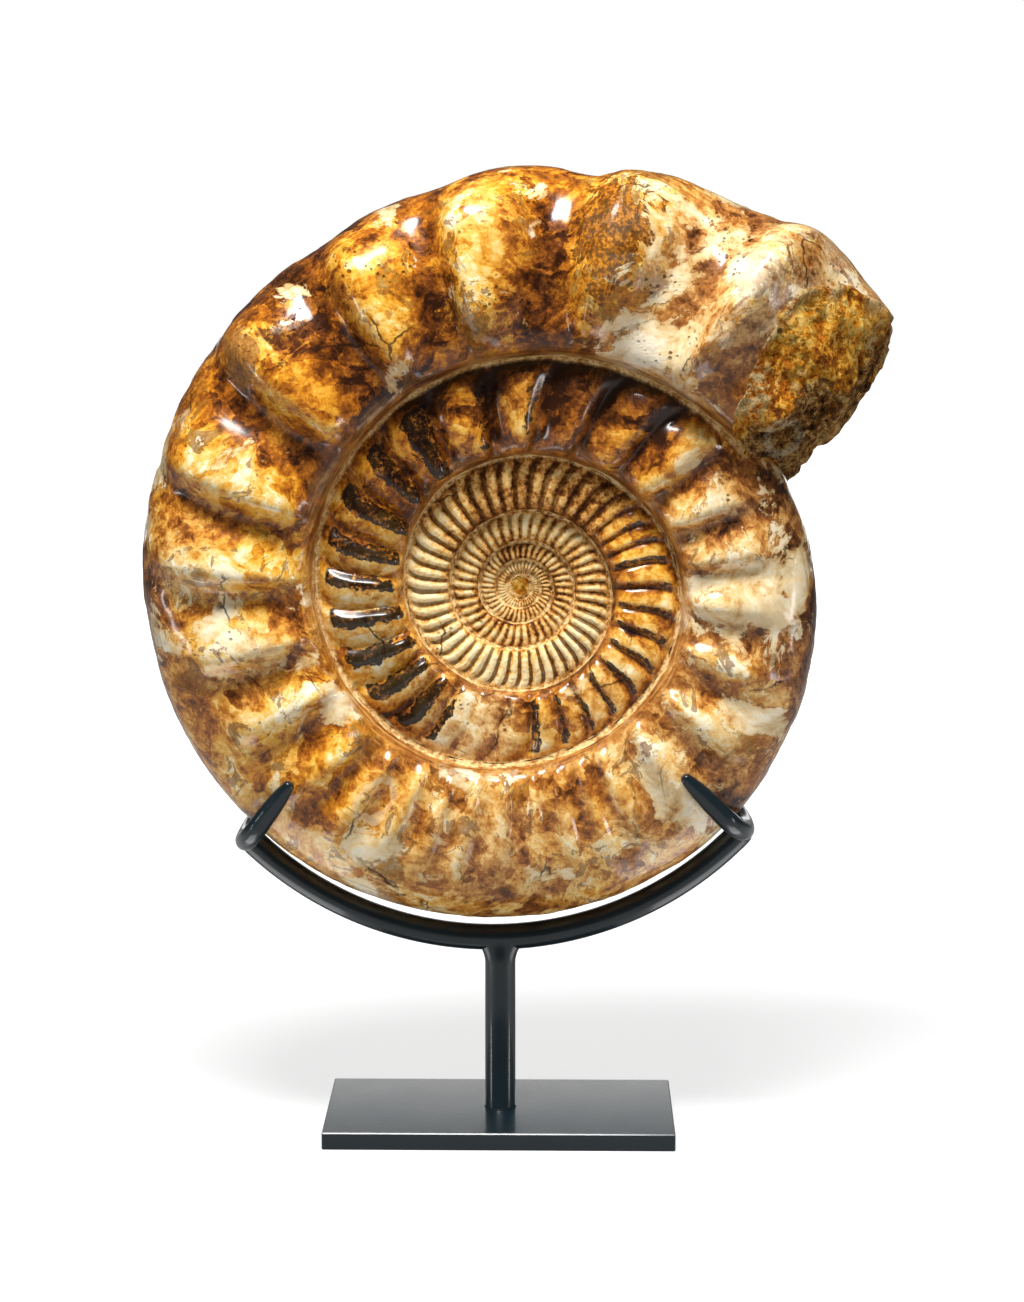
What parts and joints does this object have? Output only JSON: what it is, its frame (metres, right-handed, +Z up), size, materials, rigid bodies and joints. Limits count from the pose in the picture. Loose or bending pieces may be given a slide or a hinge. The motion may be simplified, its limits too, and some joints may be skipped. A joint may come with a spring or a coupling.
{
  "type": "kranaosphinctes ammonite fossil on stand",
  "caption": "Evolute ribbed ammonite fossil with a broken aperture, resting upright in an arc-shaped steel cradle with hooked ends on a post and flat rectangular base plate",
  "frame": {"origin": "centre of the base plate's underside, where the stand rests on a surface", "axes": "+Z up along the post, +X to the viewer's right along the plate's long side, +Y away from the viewer, so the fossil's shown face looks along -Y"},
  "size_m": [0.4218, 0.1275, 0.5491],
  "materials": {
    "fossil_stone": "polished",
    "stand_paint": "satin"
  },
  "bodies": {
    "root": {"ammonite": "fossil_stone", "base_plate": "stand_paint", "post": "stand_paint", "cradle_bar": "stand_paint", "left_hook": "stand_paint", "right_hook": "stand_paint"}
  },
  "joints": []
}
